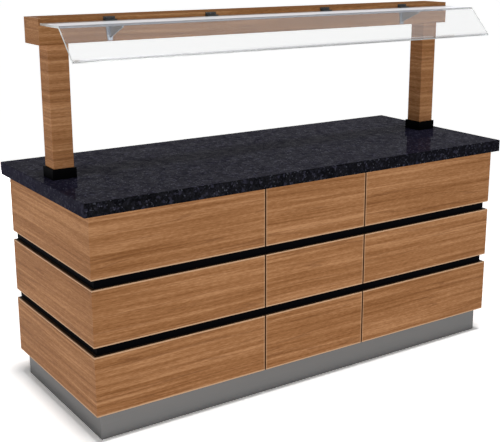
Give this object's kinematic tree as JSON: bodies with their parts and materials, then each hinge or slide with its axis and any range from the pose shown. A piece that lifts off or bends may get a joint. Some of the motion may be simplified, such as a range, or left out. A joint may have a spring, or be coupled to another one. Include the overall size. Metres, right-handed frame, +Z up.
{
  "type": "buffet counter",
  "caption": "Neutral buffet counter with a stone top, wood-grain cladding with black shadow gaps, a rear store with hinged doors and a gantry that carries a bent glass guard.",
  "frame": {"origin": "on the floor, under the middle of the worktop", "axes": "+X along the counter, to the right for a customer who faces it; -Y towards the customers; +Z up"},
  "size_m": [2, 0.8, 1.493],
  "materials": {
    "stone_top": "polished, black with grey speckles",
    "plywood": "sanded plywood",
    "wood_laminate": "satin laminate with a brown wood grain along the panels",
    "steel_fittings": "satin steel",
    "plinth_steel": "brushed, grain along the plinth",
    "black_board": "black melamine on chipboard",
    "black_metal": "satin black powder coat",
    "core_steel": "zinc primer",
    "black_plastic": "matt moulded",
    "black_aluminium": "black anodised",
    "clear_glass": "clear toughened glass"
  },
  "bodies": {
    "counter": {"worktop": "stone_top", "worktop_substrate": "plywood", "plinth_front": "plinth_steel", "plinth_rear": "plinth_steel", "plinth_left": "plinth_steel", "plinth_right": "plinth_steel", "levelling_feet": "black_plastic", "base_panel": "black_board", "front_backing_board": "black_board", "top_rail_front": "black_board", "top_rail_rear": "black_board", "end_panel_left": "black_board", "end_panel_right": "black_board", "divider_left": "black_board", "divider_right": "black_board", "shelf_left": "wood_laminate", "shelf_centre": "wood_laminate", "shelf_right": "wood_laminate", "shelf_pins": "steel_fittings", "front_panel_bottom_left": "wood_laminate", "front_panel_bottom_centre": "wood_laminate", "front_panel_bottom_right": "wood_laminate", "left_panel_bottom": "wood_laminate", "right_panel_bottom": "wood_laminate", "front_panel_middle_left": "wood_laminate", "front_panel_middle_centre": "wood_laminate", "front_panel_middle_right": "wood_laminate", "left_panel_middle": "wood_laminate", "right_panel_middle": "wood_laminate", "front_panel_top_left": "wood_laminate", "front_panel_top_centre": "wood_laminate", "front_panel_top_right": "wood_laminate", "left_panel_top": "wood_laminate", "right_panel_top": "wood_laminate", "frame_hinge_leaves": "steel_fittings", "hinge_pins": "steel_fittings", "grip_profile": "black_aluminium", "post_shoe_left": "black_metal", "post_casing_left": "wood_laminate", "post_core_left": "core_steel", "post_shoe_right": "black_metal", "post_casing_right": "wood_laminate", "post_core_right": "core_steel", "post_bolts": "steel_fittings", "beam_casing": "wood_laminate", "beam_lid": "wood_laminate", "beam_end_left": "wood_laminate", "beam_end_right": "wood_laminate", "beam_tube": "core_steel", "glass_guard": "clear_glass", "glass_clips": "black_metal", "glass_brackets": "steel_fittings"},
    "far_left_door": {"door_far_left": "wood_laminate", "door_hinge_leaves_far_left": "steel_fittings"},
    "near_left_door": {"door_near_left": "wood_laminate", "door_hinge_leaves_near_left": "steel_fittings"},
    "near_right_door": {"door_near_right": "wood_laminate", "door_hinge_leaves_near_right": "steel_fittings"},
    "far_right_door": {"door_far_right": "wood_laminate", "door_hinge_leaves_far_right": "steel_fittings"}
  },
  "joints": [
    {"name": "far_left_door_hinge", "type": "hinge", "parent": "counter", "child": "far_left_door", "pos_m": [-0.941, 0.38, 0.208], "axis": [0, 0, 1], "range_deg": [0, 110]},
    {"name": "near_left_door_hinge", "type": "hinge", "parent": "counter", "child": "near_left_door", "pos_m": [-0.2575, 0.38, 0.208], "axis": [0, 0, -1], "range_deg": [0, 110]},
    {"name": "near_right_door_hinge", "type": "hinge", "parent": "counter", "child": "near_right_door", "pos_m": [0.2575, 0.38, 0.208], "axis": [0, 0, 1], "range_deg": [0, 110]},
    {"name": "far_right_door_hinge", "type": "hinge", "parent": "counter", "child": "far_right_door", "pos_m": [0.941, 0.38, 0.208], "axis": [0, 0, -1], "range_deg": [0, 110]}
  ]
}
